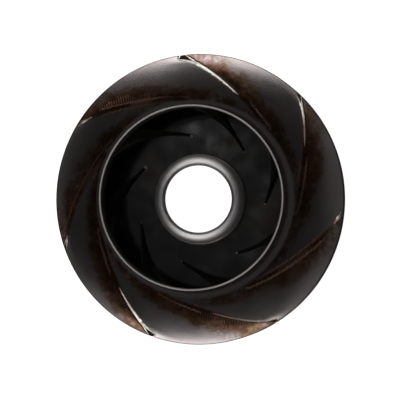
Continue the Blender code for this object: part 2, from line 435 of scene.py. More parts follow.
def shroud_line(sheets, depth):
    """The front shroud's section from eye to rim, at a depth below its outside."""
    upright = math.pi / 2
    slope = sheets.shoulder_slope
    neck_foot = SHROUD_HIGH.z - sheets.neck_length
    rim_top = PLATE_LOW.z + sheets.exit_width
    hollow_centre = (sheets.neck_radius + sheets.neck_fillet, neck_foot)
    shoulder = arc(hollow_centre, sheets.neck_fillet, upright, slope, 1)[-1]
    reach = SHROUD_HIGH.x - shoulder[0]
    rim_slope = 2 * math.atan2(shoulder[1] - rim_top, reach) - slope
    flank = reach / (math.sin(slope) - math.sin(rim_slope))
    flank_centre = (shoulder[0] + flank * math.sin(slope), shoulder[1] + flank * math.cos(slope))
    top = (sheets.neck_radius - depth, SHROUD_HIGH.z)
    foot = (sheets.neck_radius - depth, neck_foot)
    line = [top] + between(top, foot, NECK_STEPS) + [foot]
    line += arc(hollow_centre, sheets.neck_fillet + depth, upright, slope, FILLET_STEPS)
    line += arc(flank_centre, flank + depth, slope, rim_slope, FLANK_STEPS)
    last_radius, last_height = line[-1]
    fall = (SHROUD_HIGH.x - last_radius) * math.tan(rim_slope)
    line[-1] = (SHROUD_HIGH.x, last_height - fall)
    return line


def height_on(line, radius):
    """The heights of a section line at radii outside its neck."""
    radii, heights = np.transpose(line[NECK_STEPS:])
    return np.interp(radius, radii, heights)


def rounded(outline, corners, radius):
    """A closed outline with the named corners rounded off."""
    made = []
    for number, point in enumerate(outline):
        if number not in corners:
            made.append(point)
            continue
        here = Vector(point)
        before = Vector(outline[number - 1]) - here
        after = Vector(outline[(number + 1) % len(outline)]) - here
        start = here + before.normalized() * min(radius, before.length / 2)
        end = here + after.normalized() * min(radius, after.length / 2)
        for step in range(EDGE_STEPS + 1):
            at = step / EDGE_STEPS
            curve = start.lerp(here, at).lerp(here.lerp(end, at), at)
            made.append(tuple(curve))
    return made


# Lines of the vanes, by their share of the way from the rim (0) to the eye (1)

def polar(radius, angle, height):
    """Places from radii, angles about the shaft axis and heights."""
    corners = np.broadcast_arrays(radius * np.cos(angle), radius * np.sin(angle), height)
    return np.stack(corners, axis=-1)


def smooth(low, high, value):
    """Rises softly from 0 at low to 1 at high."""
    at = np.clip((value - low) / (high - low), 0.0, 1.0)
    return at * at * (3.0 - 2.0 * at)


def plateau(value, rise, fall):
    """1 between a soft rise and a soft fall, each a pair of places."""
    return smooth(*rise, value) * (1.0 - smooth(*fall, value))


def ripples(at, aside, count):
    """Ripples of weld metal along a seam, bowed towards its sides."""
    return np.sin(at * count * math.tau + (aside * RIPPLE_BOW) ** 2)


def clouds(places):
    """Soft noise from -1 to 1 at places."""
    return np.array([noise.noise(place) for place in map(Vector, places.tolist())])


def hump(value, width):
    """1 where the value is 0, falling off softly on both sides."""
    return np.exp(-((value / width) ** 2))


def back_radius(vanes, at):
    """Radius of a vane's line on the back shroud: an even spiral."""
    return vanes.outer_radius * (vanes.back_lead_radius / vanes.outer_radius) ** at


def back_edge(vanes, at, height):
    """A vane's line on the back shroud."""
    return polar(back_radius(vanes, at), vanes.first_angle - vanes.back_wrap * at, height)


def front_radius(vanes, at, pull):
    """Radius of a vane's line under the front shroud, which runs out along the neck."""
    reach = vanes.outer_radius - vanes.front_lead_radius
    return vanes.front_lead_radius + reach * (1.0 - at) ** 2 - pull * smooth(*PULL_RISE, at)


def front_edge(vanes, at, line, pull=0.0):
    """A vane's line on a section line of the front shroud, drawn in by a pull."""
    radius = front_radius(vanes, at, pull)
    return polar(radius, vanes.first_angle - vanes.front_wrap * at, height_on(line, radius))


def level_across(edge, at):
    """The level directions that cross a line, to the side of growing angles."""
    ahead = edge(at - TANGENT_STEP) - edge(at + TANGENT_STEP)
    level = np.stack((-ahead[..., 1], ahead[..., 0], np.zeros_like(at)), axis=-1)
    return level / np.linalg.norm(level, axis=-1, keepdims=True)


def across_seam(places, radii, wrap, angle_at_rim):
    """How far places lie across from a seam, and their shares along it.

    The radii are the seam's own, at even shares along it, and it turns by the wrap from rim to eye.
    """
    samples = np.linspace(0.0, 1.0, len(radii))
    radius = np.hypot(places[:, 0], places[:, 1])
    at = np.interp(-radius, -radii, samples)
    angle = np.arctan2(places[:, 1], places[:, 0]) - angle_at_rim + wrap * at
    angle -= math.tau * np.round(angle / math.tau)
    inward = -np.interp(at, samples, np.gradient(radii, samples))
    return angle * radius * inward / np.hypot(inward, radius * wrap), at


def rim_angle(vanes, number):
    """Where a vane's line meets the rim."""
    return vanes.first_angle - math.tau * number / VANE_COUNT


# Meshes

def finished(name, shape, materials):
    """Turn a bmesh into an object with smooth shading, sharp edges and its finishes."""
    mesh = bpy.data.meshes.new(name)
    shape.to_mesh(mesh)
    shape.free()
    mesh.shade_smooth()
    mesh.set_sharp_from_angle(angle=SHARP_ANGLE)
    for material in materials:
        mesh.materials.append(material)
    piece = bpy.data.objects.new(name, mesh)
    bpy.context.scene.collection.objects.link(piece)
    return piece


def dress(piece, node):
    """Let a piece stand for a solid and take its place on the impeller."""
    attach(piece, BODY)
    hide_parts(node)


def turned(outline, segments):
    """A ring whose section is the closed outline of (radius, height) points."""
    shape = bmesh.new()
    corners = [shape.verts.new((radius, 0.0, height)) for radius, height in outline]
    sides = [shape.edges.new(pair) for pair in zip(corners, corners[1:] + corners[:1])]
    bmesh.ops.spin(
        shape,
        geom=corners + sides,
        cent=(0.0, 0.0, 0.0),
        axis=(0.0, 0.0, 1.0),
        angle=math.tau,
        steps=segments,
        use_merge=True,
    )
    bmesh.ops.recalc_face_normals(shape, faces=shape.faces)
    return shape


def swept(sections):
    """A bar through the given closed sections, each a list of the same number of points."""
    shape = bmesh.new()
    corners = [shape.verts.new(point) for point in sections[0]]
    edges = [shape.edges.new(pair) for pair in zip(corners, corners[1:] + corners[:1])]
    ends = list(edges)
    for section in sections[1:]:
        grown = bmesh.ops.extrude_edge_only(shape, edges=edges)
        edges = [part for part in grown["geom"] if isinstance(part, bmesh.types.BMEdge)]
        free = new_verts(grown)
        corners = [min(free, key=lambda vert: (vert.co - old.co).length) for old in corners]
        for corner, point in zip(corners, section):
            corner.co = point
    bmesh.ops.holes_fill(shape, edges=ends + edges, sides=len(corners))
    bmesh.ops.recalc_face_normals(shape, faces=shape.faces)
    return shape


def new_verts(grown):
    """The vertices among what an extrusion made."""
    return [part for part in grown["geom"] if isinstance(part, bmesh.types.BMVert)]


def pushed(shape, faces, way):
    """Extrude faces of a bmesh along a way."""
    grown = bmesh.ops.extrude_face_region(shape, geom=faces)
    bmesh.ops.translate(shape, verts=new_verts(grown), vec=way)


def cut_with(piece, cutter):
    """Take a cutter's shape out of a piece and throw the cutter away."""
    cut = piece.modifiers.new("cut", "BOOLEAN")
    cut.object = cutter
    cut.solver = "EXACT"
    bpy.context.view_layer.update()
    view = bpy.context.evaluated_depsgraph_get()
    whole = piece.data
    piece.data = bpy.data.meshes.new_from_object(piece.evaluated_get(view))
    piece.modifiers.clear()
    bpy.data.meshes.remove(whole)
    bpy.data.objects.remove(cutter)


def read_places(mesh):
    """The places of a mesh's vertices."""
    places = np.empty(len(mesh.vertices) * 3, dtype=np.float32)
    mesh.vertices.foreach_get("co", places)
    return places.reshape(-1, 3).astype(float)


def write_places(mesh, places):
    """Move a mesh's vertices."""
    mesh.vertices.foreach_set("co", places.astype(np.float32).ravel())
    mesh.update()


def write_values(mesh, name, values):
    """Give each vertex of a mesh a number that its material reads."""
    attribute = mesh.attributes.new(name, "FLOAT", "POINT")
    attribute.data.foreach_set("value", values.astype(np.float32))


def strip(steps, rows):
    """A flat strip, with each vertex's share along it (0 to 1) and across it (-1 to 1)."""
    shape = bmesh.new()
    bmesh.ops.create_grid(shape, x_segments=steps, y_segments=rows, size=1.0)
    mesh = bpy.data.meshes.new("strip")
    shape.to_mesh(mesh)
    shape.free()
    places = read_places(mesh)
    return mesh, (places[:, 0] + 1.0) / 2, places[:, 1]


def thickened(mesh, depth):
    """A strip as a closed body that reaches down by a depth, or up where that is below 0."""
    shape = bmesh.new()
    shape.from_mesh(mesh)
    bpy.data.meshes.remove(mesh)
    pushed(shape, shape.faces[:], (0.0, 0.0, -depth))
    bmesh.ops.recalc_face_normals(shape, faces=shape.faces)
    return shape


def vane_turn(number):
    """The turn from the first vane to another."""
    return Matrix.Rotation(-math.tau * number / VANE_COUNT, 3, "Z")


def turn_to(shape, number):
    """Turn a bmesh made at the first vane to another vane."""
    bmesh.ops.rotate(shape, verts=shape.verts, cent=(0.0, 0.0, 0.0), matrix=vane_turn(number))


def finish_seam(mesh, number, side, depth, flatted, burnt):
    """Turn a strip that lies in place at the first vane into the bead of a seam."""
    write_values(mesh, "flatted", flatted)
    write_values(mesh, "burnt", burnt)
    shape = thickened(mesh, depth)
    turn_to(shape, number)
    piece = finished(f"{side}_seam_bead_{number + 1}", shape, finishes("weld_metal"))
    dress(piece, f"{side}_seam_{number + 1}")


def weld_dip(sheets, across, at):
    """How far a seam has drawn the sheet in beside it."""
    depth = sheets.weld_draw * (1.0 - smooth(*DIP_END, at))
    return depth * hump(across, sheets.weld_draw_width)


def slot_size(scene, number):
    """A slot's length as a share of the vane's line, and half its width at the rim."""
    welds = scene.impeller_welds
    opening = SLOT_OPENING[number]
    tip = welds.slot_share * (SHORTEST_SLOT + (1.0 - SHORTEST_SLOT) * opening)
    return tip, welds.slot_width / 2 * opening


# Node trees

class Signal:
    """A number in a node tree. Arithmetic on it adds Math nodes."""

    def __init__(self, tree, source):
        self.tree = tree
        self.source = source

    def math(self, operation, *others):
        """This number combined with others by a Math node."""
        return calculated(self.tree, operation, self, *others)

    def __add__(self, other):
        return self.math("ADD", other)

    def __sub__(self, other):
        return self.math("SUBTRACT", other)

    def __mul__(self, other):
        return self.math("MULTIPLY", other)

    def __rsub__(self, other):
        return calculated(self.tree, "SUBTRACT", other, self)

    def clamped(self):
        """This number kept from 0 to 1."""
        node = self.tree.nodes.new("ShaderNodeClamp")
        feed(self.tree, node.inputs["Value"], self)
        return Signal(self.tree, node.outputs["Result"])

    def stepped(self, low, high):
        """Rises softly from 0 to 1 as this number goes from low to high."""
        node = self.tree.nodes.new("ShaderNodeMapRange")
        node.interpolation_type = "SMOOTHSTEP"
        for name, value in (("Value", self), ("From Min", low), ("From Max", high)):
            feed(self.tree, node.inputs[name], value)
        return Signal(self.tree, node.outputs["Result"])


def feed(tree, socket, value):
    """Link a signal or a socket to an input, or set the input's value."""
    if isinstance(value, Signal):
        value = value.source
    if isinstance(value, bpy.types.NodeSocket):
        tree.links.new(value, socket)
    else:
        socket.default_value = value


def calculated(tree, operation, *values):
    """A Math node on numbers and signals."""
    node = tree.nodes.new("ShaderNodeMath")
    node.operation = operation
    for socket, value in zip(node.inputs, values):
        feed(tree, socket, value)
    return Signal(tree, node.outputs[0])


def placed_node(tree, kind, settings=None, **inputs):
    """A node of a kind with its settings and inputs."""
    node = tree.nodes.new(kind)
    for name, value in (settings or {}).items():
        setattr(node, name, value)
    for name, value in inputs.items():
        feed(tree, node.inputs[name.replace("_", " ")], value)
    return node


def pattern(tree, place, name):
    """A cloudy pattern at a place, from 0 to 1."""
    scale, detail, roughness, *edges = PATTERNS[name]
    numbers = {"Scale": scale, "Detail": detail, "Roughness": roughness}
    node = placed_node(tree, "ShaderNodeTexNoise", Vector=place, **numbers)
    cloud = Signal(tree, node.outputs["Fac"])
    return cloud.stepped(*edges) if edges else cloud


def mixed(tree, share_of, first, second):
    """One colour running into another."""
    node = tree.nodes.new("ShaderNodeMix")
    node.data_type = "RGBA"
    feed(tree, node.inputs["Factor"], share_of)
    for name, value in (("A", first), ("B", second)):
        socket = next(s for s in node.inputs if s.name == name and s.type == "RGBA")
        feed(tree, socket, value if isinstance(value, bpy.types.NodeSocket) else (*value, 1.0))
    return next(s for s in node.outputs if s.type == "RGBA")


def new_group(name, inputs, outputs):
    """An empty node group with float or colour sockets, its input node and its output node."""
    tree = bpy.data.node_groups.new(name, "ShaderNodeTree")
    for way, sockets in (("INPUT", inputs), ("OUTPUT", outputs)):
        for label, kind in sockets.items():
            tree.interface.new_socket(name=label, in_out=way, socket_type=f"NodeSocket{kind}")
    return tree, tree.nodes.new("NodeGroupInput"), tree.nodes.new("NodeGroupOutput")


def use_group(tree, name, **inputs):
    """A node group placed in a tree, with its inputs."""
    return placed_node(tree, "ShaderNodeGroup", {"node_tree": bpy.data.node_groups[name]}, **inputs)


def own_place(tree):
    """The place on the piece."""
    return tree.nodes.new("ShaderNodeTexCoord").outputs["Object"]


def round_the_shaft(tree, place):
    """A place's radius and angle about the shaft axis, and its height."""
    parts = placed_node(tree, "ShaderNodeSeparateXYZ", Vector=place)
    x, y, z = (Signal(tree, parts.outputs[axis]) for axis in "XYZ")
    return (x * x + y * y).math("SQRT"), y.math("ARCTAN2", x), z


def heat_tint_group():
    """Colour of steel that a weld has heated: straw or rose, then brown, then burnt."""
    inputs = dict.fromkeys(("Steel", "Straw", "Rose", "Brown", "Scorch"), "Color")
    inputs |= dict.fromkeys(("Heat", "Mottling"), "Float")
    tree, entry, leave = new_group("Heat Tint", inputs, {"Color": "Color"})
    place = own_place(tree)
    heat = Signal(tree, entry.outputs["Heat"])
    cloud = (pattern(tree, place, "clouds") - 0.5) + (pattern(tree, place, "grit") - 0.5)
    uneven = heat + cloud * Signal(tree, entry.outputs["Mottling"]) * heat.stepped(*MOTTLED)
    hue = pattern(tree, place, "hue")
    light = mixed(tree, hue, entry.outputs["Straw"], entry.outputs["Rose"])
    tint = entry.outputs["Steel"]
    for limits, colour_there in (
        (LIGHT_TINT, light),
        (BROWN_TINT, entry.outputs["Brown"]),
        (BURNT_TINT, entry.outputs["Scorch"]),
    ):
        tint = mixed(tree, uneven.stepped(*limits), tint, colour_there)
    feed(tree, leave.inputs["Color"], tint)


def ring_grain_group():
    """Fine lines that a polishing wheel or a lathe leaves round the shaft axis."""
    inputs = dict.fromkeys(("Lines per Metre", "Unevenness"), "Float")
    tree, entry, leave = new_group("Ring Grain", inputs, {"Height": "Float", "Smear": "Float"})
    place = own_place(tree)
    radius, angle, height = round_the_shaft(tree, place)
    reach = (radius + height) * Signal(tree, entry.outputs["Lines per Metre"])
    rings = placed_node(tree, "ShaderNodeCombineXYZ", X=reach, Y=angle * BREAKS_PER_RADIAN)
    feed(tree, leave.inputs["Height"], pattern(tree, rings.outputs[0], "lines"))
    smear = pattern(tree, place, "smears") - 0.5
    feed(tree, leave.inputs["Smear"], smear * Signal(tree, entry.outputs["Unevenness"]))


def new_material(name, roughness, metallic=1.0):
    """A material with plain values: its node tree and its shader."""
    material = bpy.data.materials.new(name)
    material.use_nodes = True
    shader = material.node_tree.nodes["Principled BSDF"]
    shader.inputs["Metallic"].default_value = metallic
    shader.inputs["Roughness"].default_value = roughness
    return material.node_tree, shader


def paint(tree, shader, colour_there):
    """Feed a colour to a shader."""
    feed(tree, shader.inputs["Base Color"], colour_there)


def bumped(tree, shader, height, depth):
    """Feed a height from 0 to 1 to a shader as bump of a depth in metres."""
    bump = placed_node(tree, "ShaderNodeBump", Height=height, Distance=depth)
    feed(tree, shader.inputs["Normal"], bump.outputs["Normal"])


def tool_lines(tree, shader, name, roughness, relief=0.0):
    """Give a shader the tool lines of its finish, and return their group."""
    lines, unevenness, depth, bump_share = TOOL_LINES[name]
    grain = use_group(tree, "Ring Grain", Lines_per_Metre=lines, Unevenness=unevenness)
    feed(tree, shader.inputs["Roughness"], Signal(tree, grain.outputs["Smear"]) + roughness)
    bumped(tree, shader, Signal(tree, grain.outputs["Height"]) * bump_share + relief, depth)
    return grain


def tint_colours(finish):
    """The inputs of the heat tint that the finish sets."""
    names = ("steel", "straw", "rose", "brown", "scorch")
    return {name.capitalize(): (*getattr(finish, name), 1.0) for name in names}


def value_of(tree, name):
    """A number that the mesh carries at each vertex."""
    node = tree.nodes.new("ShaderNodeAttribute")
    node.attribute_name = name
    return Signal(tree, node.outputs["Fac"])


def sheet_material(finish):
    """Polished front sheet: heat tinted along the welds, with fine chatter beside them."""
    tree, shader = new_material("polished_sheet", finish.sheet_roughness)
    place = own_place(tree)
    radius, angle = round_the_shaft(tree, place)[:2]
    heat = value_of(tree, "weld_heat")
    ridges = (angle * -CHATTER_TURN - radius * CHATTER_REACH).math("SINE")
    chatter = ridges * value_of(tree, "wheel_chatter") * pattern(tree, place, "patches")
    warmth = heat - chatter * CHATTER_TINT
    tint = use_group(tree, "Heat Tint", Heat=warmth, Mottling=1.2, **tint_colours(finish))
    paint(tree, shader, tint.outputs["Color"])
    roughness = heat * HEAT_ROUGHNESS + finish.sheet_roughness
    tool_lines(tree, shader, "polished_sheet", roughness, chatter * CHATTER_BUMP)


def edge_material(finish):
    """Cut and turned edges of the sheets."""
    tree, shader = new_material("cut_edge", finish.edge_roughness)
    grain = tool_lines(tree, shader, "cut_edge", finish.edge_roughness)
    worn = Signal(tree, grain.outputs["Smear"]) + 0.5
    paint(tree, shader, mixed(tree, worn, finish.steel, finish.cut_edge))


def plate_material(finish):
    """Back sheet: smooth, unevenly wiped and a little stained."""
    tree, shader = new_material("smooth_sheet", finish.plate_roughness)
    place = own_place(tree)
    radius, angle = round_the_shaft(tree, place)[:2]
    marks = {"X": angle * WIPES_TURN, "Y": radius * WIPES_REACH}
    wipes = placed_node(tree, "ShaderNodeCombineXYZ", **marks)
    wiped = pattern(tree, wipes.outputs[0], "wipes") - 0.5
    heat = value_of(tree, "weld_heat") + pattern(tree, place, "stains") * STAIN_HEAT
    colours = tint_colours(finish) | {"Steel": (*finish.plate, 1.0)}
    tint = use_group(tree, "Heat Tint", Heat=heat, Mottling=0.2, **colours)
    paint(tree, shader, tint.outputs["Color"])
    tool_lines(tree, shader, "smooth_sheet", wiped * WIPED_ROUGHNESS + finish.plate_roughness)


def inside_material(finish):
    """Sheet inside the impeller: dark and dull, with painted shade behind the vanes' leading edges."""
    tree, shader = new_material("inside_sheet", finish.vane_roughness, metallic=0.0)
    shader.inputs["Specular IOR Level"].default_value = finish.vane_shine
    place = own_place(tree)
    radius, _, height = round_the_shaft(tree, place)
    vanes = bpy.context.scene.impeller_vanes
    # Painted shade: the sheet is darkened behind each vane's leading edge and under the neck, where the
    # vanes shade it
    lean = (vanes.front_lead_radius - vanes.back_lead_radius) / (LEAD_TOP - PLATE_HIGH.z)
    behind_lead = radius - vanes.back_lead_radius - (height - PLATE_HIGH.z) * lean
    under_neck = 1.0 - height.stepped(LEAD_TOP, LEAD_TOP + finish.painted_shade_reach)
    painted_shade = (1.0 - behind_lead.stepped(0.0, finish.painted_shade_reach)) * under_neck
    # The dull places are a random pattern; the painted shade behind the leading edges is added to them
    skin = (pattern(tree, place, "dull places") * DULL_SKIN + painted_shade).clamped()
    paint(tree, shader, mixed(tree, skin, finish.vane, finish.oxide_and_shade))
    tool_lines(tree, shader, "inside_sheet", finish.vane_roughness)


def hub_material(finish):
    """Turned hub: brighter, with tool lines."""
    tree, shader = new_material("turned_hub", finish.hub_roughness)
    shader.inputs["Anisotropic"].default_value = finish.hub_brushing
    shader.inputs["Anisotropic Rotation"].default_value = ACROSS_THE_LINES
    round_the_axis = placed_node(tree, "ShaderNodeTangent", {"direction_type": "RADIAL", "axis": "Z"})
    feed(tree, shader.inputs["Tangent"], round_the_axis.outputs["Tangent"])
    worn = tool_lines(tree, shader, "turned_hub", finish.hub_roughness).outputs["Height"]
    paint(tree, shader, mixed(tree, worn, finish.steel, finish.hub))


def oxide_material(finish):
    """Weld rings round the hub, under a dark skin."""
    tree, shader = new_material("dark_weld", finish.edge_roughness, metallic=0.0)
    skin = pattern(tree, own_place(tree), "skin")
    cover = skin * (1.0 - RING_SKIN) + RING_SKIN
    paint(tree, shader, mixed(tree, cover, finish.scorch, finish.oxide_and_shade))
    bumped(tree, shader, skin, WELD_BUMP)


def weld_material(finish):
    """Weld metal: flatted and bright where it is polished, burnt in the slots, brown elsewhere."""
    tree, shader = new_material("weld_metal", finish.bead_roughness)
    place = own_place(tree)
    speckle, blotch = (pattern(tree, place, name) - 0.5 for name in ("speckles", "blotches"))
    even = speckle * BEAD_SPECKLE + blotch * BEAD_BLOTCH + BEAD_EVEN
    bright = (value_of(tree, "flatted") * even).clamped()
    burnt = (value_of(tree, "burnt") + speckle * BURN_SPECKLE).clamped()
    tint = mixed(tree, bright, finish.weld, finish.bead)
    paint(tree, shader, mixed(tree, burnt, tint, finish.scorch))
    roughness = speckle * ROUGH_SPECKLE + burnt * ROUGH_BURN + finish.bead_roughness
    feed(tree, shader.inputs["Roughness"], roughness)
    bumped(tree, shader, speckle + blotch * BUMP_BLOTCH, WELD_BUMP)


MATERIALS = (
    sheet_material,
    edge_material,
    plate_material,
    inside_material,
    hub_material,
    oxide_material,
    weld_material,
)


def make_finishes(scene):
    """Build the node groups and the materials once."""
    if "polished_sheet" in bpy.data.materials:
        return
    heat_tint_group()
    ring_grain_group()
    for make in MATERIALS:
        make(scene.impeller_finish)


def finishes(*names):
    """Materials by name."""
    return [bpy.data.materials[name] for name in names]


# Operators

class IMPELLER_OT_stage(bpy.types.Operator):
    """Make the floor, the soft lights and the camera."""

    bl_idname = "impeller.stage"
    bl_label = "Stage"

    def execute(self, context):
        stage = context.scene.impeller_stage
        self.make_floor(stage)
        self.make_world(context.scene, stage)
        for name, (x, y, width, depth, radiance) in LIGHTS.items():
            self.make_light(name, Vector((x, y, stage.light_height)), width, depth, radiance)
        self.make_camera(context.scene, stage)
        context.scene.view_settings.view_transform = "Standard"
        return {"FINISHED"}

    def make_floor(self, stage):
        """A wide pale floor under the hub's rear face."""
        shape = bmesh.new()
        bmesh.ops.create_grid(shape, x_segments=1, y_segments=1, size=FLOOR_REACH)
        bmesh.ops.translate(shape, verts=shape.verts, vec=(0.0, 0.0, HUB_LOW.z - FLOOR_GAP))
        tree, shader = new_material("pale_floor", stage.floor_roughness, metallic=0.0)
        shader.inputs["Emission Color"].default_value = (1.0, 1.0, 1.0, 1.0)
        seen = Signal(tree, tree.nodes.new("ShaderNodeLightPath").outputs["Is Camera Ray"])
        dim = [channel * stage.bounce for channel in stage.floor]
        paint(tree, shader, mixed(tree, seen, dim, stage.floor))
        feed(tree, shader.inputs["Emission Strength"], seen * stage.glow)
        finished("floor", shape, finishes("pale_floor"))

    def make_world(self, scene, stage):
        """Dim room, a little lighter towards the horizon and pale where the camera sees it."""
        world = bpy.data.worlds.new("room")
        world.use_nodes = True
        scene.world = world
        tree = world.node_tree
        seen = Signal(tree, tree.nodes.new("ShaderNodeLightPath").outputs["Is Camera Ray"])
        way = tree.nodes.new("ShaderNodeTexCoord").outputs["Generated"]
        height = Signal(tree, placed_node(tree, "ShaderNodeSeparateXYZ", Vector=way).outputs["Z"])
        dim = (1.0 - height.stepped(0.0, HORIZON_TOP)) * stage.horizon + stage.ceiling
        feed(tree, tree.nodes["Background"].inputs["Strength"], seen * (1.0 - dim) + dim)
        tree.nodes["Background"].inputs["Color"].default_value = (1.0, 1.0, 1.0, 1.0)

    def make_light(self, name, place, width, depth, radiance):
        """A soft oval light that hangs level over the floor."""
        light = bpy.data.lights.new(name, "AREA")
        light.shape = "ELLIPSE"
        light.size = width
        light.size_y = depth
        light.energy = radiance * math.pi**2 * width * depth / 4
        lamp = bpy.data.objects.new(name, light)
        lamp.location = place
        bpy.context.scene.collection.objects.link(lamp)

    def make_camera(self, scene, stage):
        """The camera at the photograph's angle, with its sideways direction square to Y."""
        camera = bpy.data.cameras.new("camera")
        camera.lens = camera.sensor_width * stage.distance / stage.field
        out = math.sin(stage.tilt)
        back = Vector((out * math.cos(stage.lean), out * math.sin(stage.lean), math.cos(stage.tilt)))
        side = Vector((0.0, 1.0, 0.0)).cross(back).normalized()
        view = bpy.data.objects.new("camera", camera)
        matrix = view.matrix_world.copy()
        for column, axis in enumerate((side, back.cross(side), back)):
            for row in range(3):
                matrix[row][column] = axis[row]
        aim = Vector((stage.aim_right, -stage.aim_drop, stage.aim_height))
        matrix.translation = aim + back * stage.distance
        view.matrix_world = matrix
        scene.collection.objects.link(view)
        scene.camera = view


class IMPELLER_OT_front_shroud(bpy.types.Operator):
    """Make the hollow front shroud with its neck, its weld dips and its slots at the rim."""

    bl_idname = "impeller.front_shroud"
    bl_label = "Front shroud"

    def execute(self, context):
        scene = context.scene
        sheets = scene.impeller_sheets
        make_finishes(scene)
        outside = shroud_line(sheets, 0.0)
        inside = shroud_line(sheets, sheets.sheet)[::-INSIDE_STRIDE]
        outline = outside + inside
        rim = len(outside)
        outline = rounded(outline, (rim - 1, rim), sheets.edge_round)
        outline = rounded(outline, (len(outline) - 1,), sheets.lip_break)
        outline = rounded(outline, (0,), sheets.lip_round)
        shape = turned(outline, SHEET_SEGMENTS)
        names = ("polished_sheet", "cut_edge", "inside_sheet")
        piece = finished("front_shroud_sheet", shape, finishes(*names))
        cut_with(piece, self.slot_cutter(scene))
        self.draw_in(scene, piece.data)
        self.mark_edges(piece.data)
        dress(piece, "front_shroud")
        return {"FINISHED"}

    def draw_in(self, scene, mesh):
        """Dip the sheet along the seams and make it uneven, and say where it got hot or chattered."""
        sheets = scene.impeller_sheets
        welds = scene.impeller_welds
        vanes = scene.impeller_vanes
        places = read_places(mesh)
        radius = np.hypot(places[:, 0], places[:, 1])
        fall = np.zeros(len(places))
        heat = np.zeros(len(places))
        chatter = np.zeros(len(places))
        samples = np.linspace(0.0, 1.0, SEAM_SAMPLES)
        warming, cooling = HEAT_ALONG
        for number in range(VANE_COUNT):
            radii = front_radius(vanes, samples, SEAM_PULL[number])
            across, at = across_seam(places, radii, vanes.front_wrap, rim_angle(vanes, number))
            fall += weld_dip(sheets, across, at)
            outer = smooth(welds.toe_tint, 0.0, across) * smooth(-welds.tint_reach, 0.0, across)
            ends = RIM_HEAT + (1.0 - RIM_HEAT) * smooth(*warming, at)
            ends *= 1.0 - smooth(*cooling, at)
            heat = np.maximum(heat, outer * ends * SEAM_HEAT[number])
            ridges = plateau(across, *CHATTER_ACROSS) * plateau(at, *CHATTER_ALONG)
            chatter = np.maximum(chatter, ridges * SEAM_HEAT[number])
        fall += clouds(places * sheets.wave_scale) * sheets.waviness
        flank = smooth(sheets.neck_radius, sheets.neck_radius + sheets.neck_fillet, radius)
        rim = 1.0 - smooth(SHROUD_HIGH.x - sheets.weld_draw_width, SHROUD_HIGH.x, radius)
        places[:, 2] -= fall * flank * rim
        write_places(mesh, places)
        write_values(mesh, "weld_heat", heat * flank)
        write_values(mesh, "wheel_chatter", chatter)

    def slot_cutter(self, scene):
        """Seven wedges that open the vanes' slots at the rim."""
        shape = bmesh.new()
        line = shroud_line(scene.impeller_sheets, 0.0)
        for number in range(VANE_COUNT):
            tip_share, half_width = slot_size(scene, number)
            mouth = front_edge(scene.impeller_vanes, np.array(0.0), line)
            tip = front_edge(scene.impeller_vanes, np.array(tip_share), line)
            out = Vector(mouth - tip)
            aside = Vector((-out.y, out.x, 0.0)).normalized() * half_width
            mouth = Vector(tip) + out * SLOT_OVERRUN
            aside *= SLOT_OVERRUN
            high = Vector((0.0, 0.0, scene.impeller_sheets.sheet))
            triangle = [Vector(tip) + high, mouth + aside + high, mouth - aside + high]
            corners = [shape.verts.new(vane_turn(number) @ place) for place in triangle]
            pushed(shape, [shape.faces.new(corners)], high * -SLOT_DEPTH)
        bmesh.ops.recalc_face_normals(shape, faces=shape.faces)
        return finished("slot_cutter", shape, [])

    def mark_edges(self, mesh):
        """Give the cut edges of the eye and of the rim, and the inside, their own finishes."""
        lip = SHROUD_HIGH.z - EDGE_DEPTH
        rim = SHROUD_HIGH.x - EDGE_DEPTH
        for face in mesh.polygons:
            radius = math.hypot(face.center.x, face.center.y)
            outward = (face.normal.x * face.center.x + face.normal.y * face.center.y) / radius
            if face.center.z > lip or radius > rim:
                face.material_index = EDGE_SLOT
            elif outward < -LOOKS_IN or face.normal.z < -LOOKS_DOWN:
                face.material_index = INSIDE_SLOT


class IMPELLER_OT_back_shroud(bpy.types.Operator):
    """Make the flat back shroud."""

    bl_idname = "impeller.back_shroud"
    bl_label = "Back shroud"

    def execute(self, context):
        scene = context.scene
        sheets = scene.impeller_sheets
        make_finishes(scene)
        hole = HUB_HIGH.x - sheets.edge_round
        corners = [
            (hole, PLATE_LOW.z),
            (PLATE_HIGH.x, PLATE_LOW.z),
            (PLATE_HIGH.x, PLATE_HIGH.z),
            (hole, PLATE_HIGH.z),
        ]
        outline = [corners[0]] + between(corners[0], corners[1], PLATE_STEPS) + corners[1:3]
        outline += between(corners[2], corners[3], PLATE_STEPS) + [corners[3]]
        outline = rounded(outline, (PLATE_STEPS, PLATE_STEPS + 1), sheets.edge_round)
        shape = turned(outline, SHEET_SEGMENTS)
        piece = finished("back_shroud_sheet", shape, finishes("smooth_sheet", "cut_edge"))
        for face in piece.data.polygons:
            at_rim = math.hypot(face.center.x, face.center.y) > PLATE_HIGH.x - sheets.edge_round
            face.material_index = EDGE_SLOT if at_rim else 0
        self.heat_rear(scene, piece.data)
        dress(piece, "back_shroud")
        return {"FINISHED"}

    def heat_rear(self, scene, mesh):
        """Say where the welds behind the sheet heated it."""
        vanes = scene.impeller_vanes
        places = read_places(mesh)
        heat = np.zeros(len(places))
        radii = back_radius(vanes, np.linspace(0.0, 1.0, SEAM_SAMPLES))
        for number in range(VANE_COUNT):
            across, at = across_seam(places, radii, vanes.back_wrap, rim_angle(vanes, number))
            beside = hump(across, scene.impeller_welds.rear_tint)
            heat = np.maximum(heat, beside * plateau(at, *REAR_HEAT_ALONG))
        at_rear = places[:, 2] < (PLATE_LOW.z + PLATE_HIGH.z) / 2
        write_values(mesh, "weld_heat", heat * at_rear)


